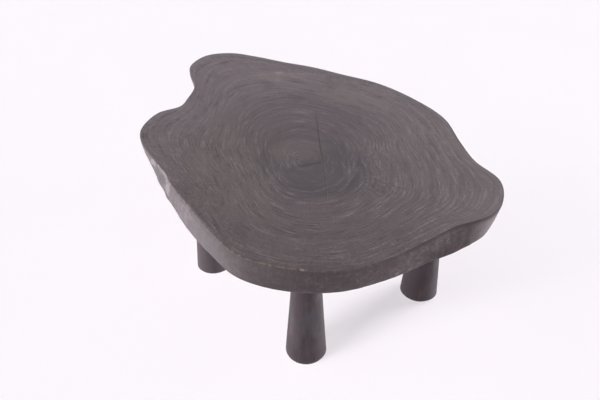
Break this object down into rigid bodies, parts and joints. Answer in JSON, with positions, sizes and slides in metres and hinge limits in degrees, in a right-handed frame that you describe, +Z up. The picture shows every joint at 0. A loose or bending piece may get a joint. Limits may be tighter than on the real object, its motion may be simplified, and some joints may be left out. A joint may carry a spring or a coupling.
{
  "type": "coffee table",
  "caption": "Low coffee table: a black-stained slice of a trunk with its bare live edge, on round tapered legs that screw off.",
  "frame": {"origin": "on the floor, in the middle of the table's outer box seen from above", "axes": "+Z up; +Y from the front lobe to the rear one, along the slab's length; +X to the right as seen from the front"},
  "size_m": [0.9076, 1.171, 0.38],
  "materials": {
    "slab_wood": "black stain, brushed end grain, matt",
    "leg_wood": "black stain, turned, matt, rubbed brown in places",
    "zinc_steel": "bright zinc",
    "yellow_zinc_steel": "yellow zinc",
    "black_plastic": "matt nylon"
  },
  "bodies": {
    "root": {"slab": "slab_wood", "leg_front": "leg_wood", "leg_right": "leg_wood", "leg_rear": "leg_wood", "leg_left": "leg_wood", "mounting_plate_front": "zinc_steel", "mounting_plate_right": "zinc_steel", "mounting_plate_rear": "zinc_steel", "mounting_plate_left": "zinc_steel", "plate_screws_front": "yellow_zinc_steel", "plate_screws_right": "yellow_zinc_steel", "plate_screws_rear": "yellow_zinc_steel", "plate_screws_left": "yellow_zinc_steel", "hanger_bolt_front": "zinc_steel", "hanger_bolt_right": "zinc_steel", "hanger_bolt_rear": "zinc_steel", "hanger_bolt_left": "zinc_steel", "floor_glide_front": "black_plastic", "floor_glide_right": "black_plastic", "floor_glide_rear": "black_plastic", "floor_glide_left": "black_plastic", "glide_nail_front": "zinc_steel", "glide_nail_right": "zinc_steel", "glide_nail_rear": "zinc_steel", "glide_nail_left": "zinc_steel"}
  },
  "joints": []
}
